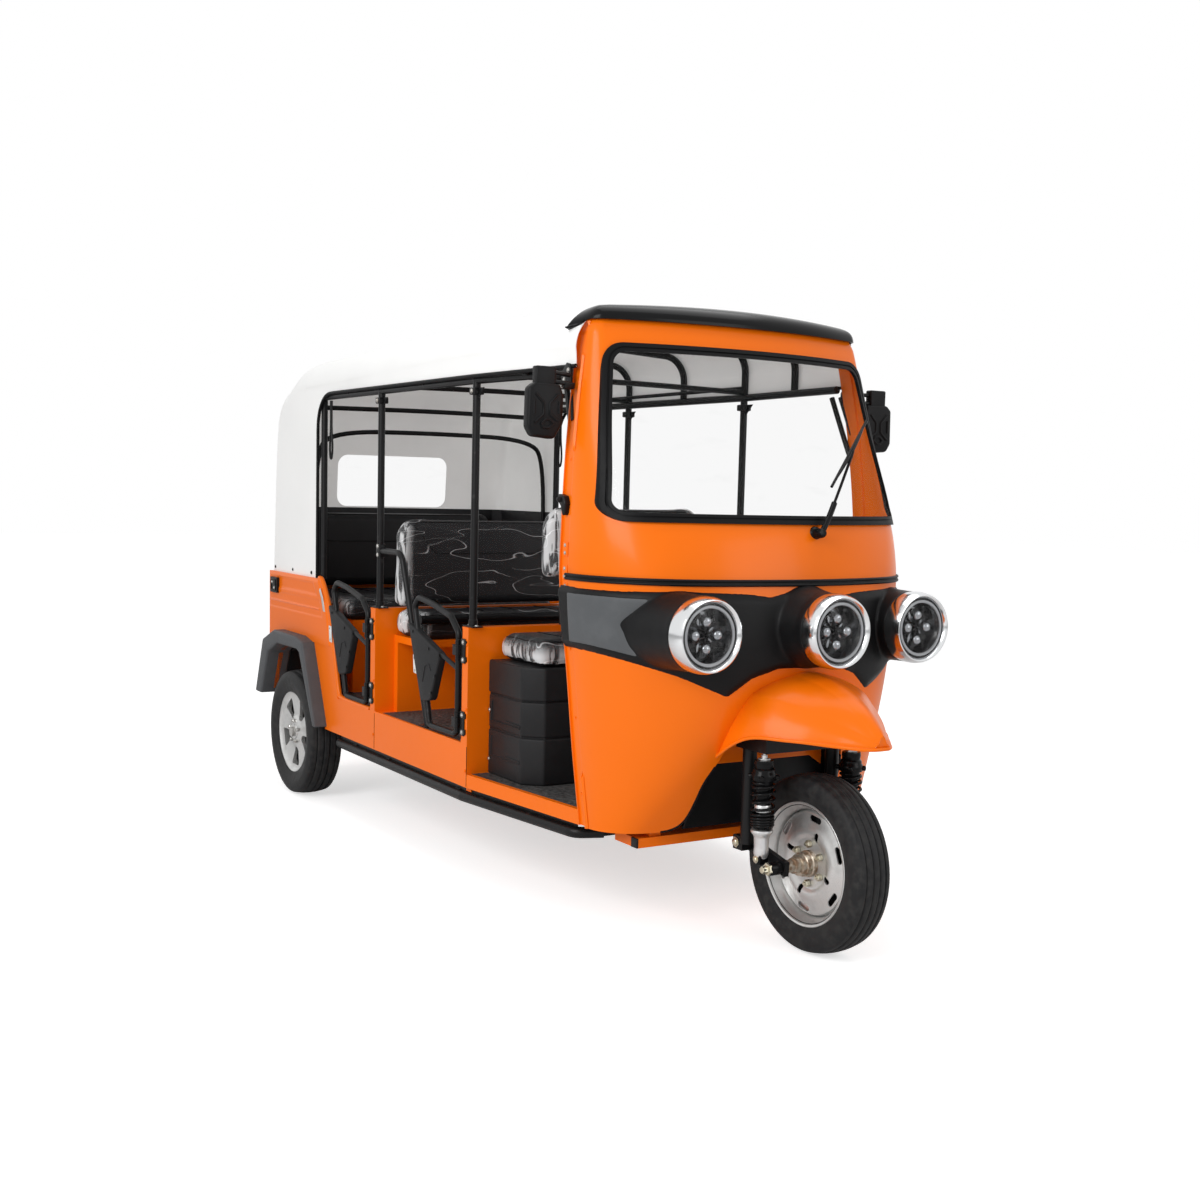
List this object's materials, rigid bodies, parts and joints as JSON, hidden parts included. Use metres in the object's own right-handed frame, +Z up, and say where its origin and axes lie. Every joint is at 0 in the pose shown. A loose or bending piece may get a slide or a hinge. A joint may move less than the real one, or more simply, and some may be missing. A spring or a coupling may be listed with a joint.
{
  "type": "auto rickshaw",
  "caption": "Electric three-wheeled auto rickshaw with a wraparound orange nose cowl, open sides with half doors, three rows of seats and a white fabric canopy on a tube frame.",
  "frame": {"origin": "on the ground, midway along the vehicle's length and on its centre plane", "axes": "+X forward, +Y to the vehicle's left, +Z up"},
  "size_m": [3.305, 1.404, 1.8275],
  "materials": {
    "body_paint": "gloss",
    "black_paint": "semi-gloss",
    "black_plastic": "matte",
    "black_rubber": "matte",
    "tyre": "matte",
    "glass": "clear",
    "clear_sheet": "clear vinyl",
    "chrome": "polished",
    "lens": "clear over dark reflector",
    "red_lens": "gloss",
    "canvas": "woven, coated",
    "vinyl": "grained",
    "alloy": "satin",
    "steel": "satin",
    "mat": "ribbed"
  },
  "bodies": {
    "chassis": {"arch_flares": "black_plastic", "backrest_stays": "black_paint", "battery_box": "black_plastic", "bench_frames": "body_paint", "body_sides": "body_paint", "bulkheads": "body_paint", "cab_sills": "body_paint", "canopy": "canvas", "chassis_frame": "black_paint", "dashboard": "black_plastic", "door_hinges": "black_paint", "drive_motor": "steel", "driver_backrest": "vinyl", "driver_cushion": "vinyl", "floor_pans": "mat", "front_crossmember": "body_paint", "front_mudguard": "body_paint", "grab_rails": "black_paint", "headlamp_band": "black_plastic", "headlamp_bezels": "chrome", "headlamp_lenses": "lens", "leaf_springs": "black_paint", "middle_backrest": "vinyl", "middle_cushion": "vinyl", "mirrors": "black_plastic", "nose_cowl": "body_paint", "rear_axle": "black_paint", "rear_backrest": "vinyl", "rear_bumper": "black_paint", "rear_cushion": "vinyl", "rear_window": "clear_sheet", "roof_bows": "black_paint", "roof_frame": "black_paint", "roof_visor": "black_plastic", "rub_strip": "black_rubber", "seat_box": "black_plastic", "side_latches": "black_plastic", "steering_neck": "black_paint", "step_rails": "black_paint", "tail_lamps": "red_lens", "tail_panel": "body_paint", "wheelhouse": "black_plastic", "windscreen": "glass", "windscreen_gasket": "black_rubber", "wiper": "black_plastic"},
    "steering": {"fork": "black_paint", "fork_links": "black_paint", "dampers": "steel", "damper_springs": "black_paint", "handlebar": "black_plastic"},
    "front_wheel": {"front_tyre": "tyre", "front_rim": "alloy"},
    "rear_wheel_right": {"rear_tyre_right": "tyre", "rear_rim_right": "alloy"},
    "rear_wheel_left": {"rear_tyre_left": "tyre", "rear_rim_left": "alloy"},
    "door_front_right": {"door_front_right": "black_paint"},
    "door_front_left": {"door_front_left": "black_paint"},
    "door_rear_right": {"door_rear_right": "black_paint"},
    "door_rear_left": {"door_rear_left": "black_paint"}
  },
  "joints": [
    {"name": "steering_turn", "type": "hinge", "parent": "chassis", "child": "steering", "pos_m": [1.2705, 0, 0.6], "axis": [-0.2588, 0, 0.9659], "range_deg": [-35, 35]},
    {"name": "front_wheel_spin", "type": "hinge", "parent": "steering", "child": "front_wheel", "pos_m": [1.3965, 0, 0.251], "axis": [0, 1, 0], "continuous": true},
    {"name": "rear_wheel_right_spin", "type": "hinge", "parent": "chassis", "child": "rear_wheel_right", "pos_m": [-1.2125, -0.537, 0.255], "axis": [0, 1, 0], "continuous": true},
    {"name": "rear_wheel_left_spin", "type": "hinge", "parent": "chassis", "child": "rear_wheel_left", "pos_m": [-1.2125, 0.537, 0.255], "axis": [0, 1, 0], "continuous": true},
    {"name": "door_front_right_hinge", "type": "hinge", "parent": "chassis", "child": "door_front_right", "pos_m": [0.2575, -0.566, 0.63], "axis": [0, 0, 1], "range_deg": [0, 90]},
    {"name": "door_rear_right_hinge", "type": "hinge", "parent": "chassis", "child": "door_rear_right", "pos_m": [-0.4995, -0.566, 0.63], "axis": [0, 0, 1], "range_deg": [0, 90]},
    {"name": "door_front_left_hinge", "type": "hinge", "parent": "chassis", "child": "door_front_left", "pos_m": [0.2575, 0.566, 0.63], "axis": [0, 0, -1], "range_deg": [0, 90]},
    {"name": "door_rear_left_hinge", "type": "hinge", "parent": "chassis", "child": "door_rear_left", "pos_m": [-0.4995, 0.566, 0.63], "axis": [0, 0, -1], "range_deg": [0, 90]}
  ]
}
